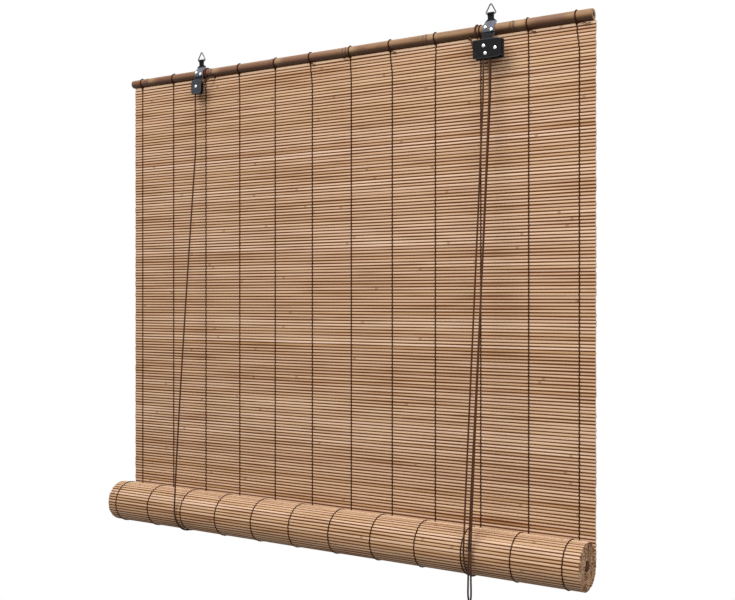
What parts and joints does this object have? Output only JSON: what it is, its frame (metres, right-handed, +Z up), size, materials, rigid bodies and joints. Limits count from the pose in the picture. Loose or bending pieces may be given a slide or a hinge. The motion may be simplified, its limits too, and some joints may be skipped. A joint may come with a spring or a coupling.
{
  "type": "bamboo roll up blind",
  "caption": "Bamboo slat blind half rolled up on its lift cords, hung from wire rings on a bamboo rod, with a pulley, a cord lock and pull cords.",
  "frame": {"origin": "midpoint of the line between the two hooks, where they bear inside the tops of the hanging rings", "axes": "+Z up, +X along the rod to the viewer's right, +Y back towards the wall or window"},
  "size_m": [0.8035, 0.0838, 0.8777],
  "materials": {
    "bamboo_slats": "matt stained bamboo",
    "bamboo_cane": "satin stained cane",
    "wood_dowel": "matt",
    "warp_thread": "twisted thread",
    "cord": "braided cord",
    "black_steel": "black enamel",
    "ring_wire": "dark wire",
    "bright_steel": "nickel plated",
    "sheave_plastic": "moulded nylon",
    "cam_metal": "zinc"
  },
  "bodies": {
    "root": {"top_rod": "bamboo_cane", "warp_loops": "warp_thread", "mat": "bamboo_slats", "warp_strings": "warp_thread", "left_strap": "black_steel", "left_strap_screws": "bright_steel", "left_back_cheek": "black_steel", "left_front_cheek": "black_steel", "left_axle": "bright_steel", "right_strap": "black_steel", "right_strap_screws": "bright_steel", "lock_back_plate": "black_steel", "lock_front_plate": "black_steel", "lock_rivets": "bright_steel", "left_front_leg": "cord", "right_front_leg": "cord", "left_back_leg": "cord", "right_back_leg": "cord", "cord_ties": "cord", "crossing_cord": "cord", "right_wrap": "cord", "pull_upper_a": "cord", "pull_upper_b": "cord"},
    "left_ring": {"left_ring": "ring_wire"},
    "right_ring": {"right_ring": "ring_wire"},
    "left_sheave": {"left_sheave": "sheave_plastic"},
    "lock_sheave": {"lock_sheave": "sheave_plastic"},
    "lock_cam": {"lock_cam": "cam_metal"},
    "slings": {"left_sling": "cord", "right_sling": "cord"},
    "roll": {"roll": "bamboo_slats", "roll_strings": "warp_thread", "bottom_rod": "wood_dowel"},
    "pull": {"pull_tail_a": "cord", "pull_tail_b": "cord", "cord_hank": "cord", "hank_tie": "cord", "pull_knot": "cord"}
  },
  "joints": [
    {"name": "roll_lift", "type": "slide", "parent": "root", "child": "slings", "axis": [0, 0, 1], "range_m": [0, 0.5881], "deforming": ["mat", "warp_strings", "left_front_leg", "right_front_leg", "left_back_leg", "right_back_leg", "pull_upper_a", "pull_upper_b"]},
    {"name": "roll_turn", "type": "hinge", "parent": "slings", "child": "roll", "pos_m": [0, -0.0312, -0.7245], "axis": [1, 0, 0], "range_deg": [-1081, 0]},
    {"name": "pull_drop", "type": "slide", "parent": "slings", "child": "pull", "axis": [0, 0, -1], "range_m": [0, 1.7653], "deforming": ["pull_tail_a", "pull_tail_b"]},
    {"name": "left_sheave_turn", "type": "hinge", "parent": "root", "child": "left_sheave", "pos_m": [-0.24942, -0.0157, -0.0568], "axis": [0, 1, 0], "range_deg": [0, 15700]},
    {"name": "lock_sheave_turn", "type": "hinge", "parent": "root", "child": "lock_sheave", "pos_m": [0.25622, -0.0174, -0.0698], "axis": [0, 1, 0], "range_deg": [0, 15700]},
    {"name": "lock_cam_swing", "type": "hinge", "parent": "root", "child": "lock_cam", "pos_m": [0.27042, -0.0174, -0.0642], "axis": [0, 1, 0], "range_deg": [0, 30]},
    {"name": "left_ring_swing", "type": "hinge", "parent": "root", "child": "left_ring", "pos_m": [-0.25402, 0, -0.012], "axis": [1, 0, 0], "range_deg": [-85, 85]},
    {"name": "right_ring_swing", "type": "hinge", "parent": "root", "child": "right_ring", "pos_m": [0.25402, 0, -0.012], "axis": [1, 0, 0], "range_deg": [-85, 85]}
  ],
  "couplings": [
    {"joint": "roll_turn", "follows": "roll_lift", "rad_per_m": -32.051},
    {"joint": "pull_drop", "follows": "roll_lift", "ratio": 3},
    {"joint": "left_sheave_turn", "follows": "roll_lift", "rad_per_m": 454.55},
    {"joint": "lock_sheave_turn", "follows": "roll_lift", "rad_per_m": 454.55}
  ]
}
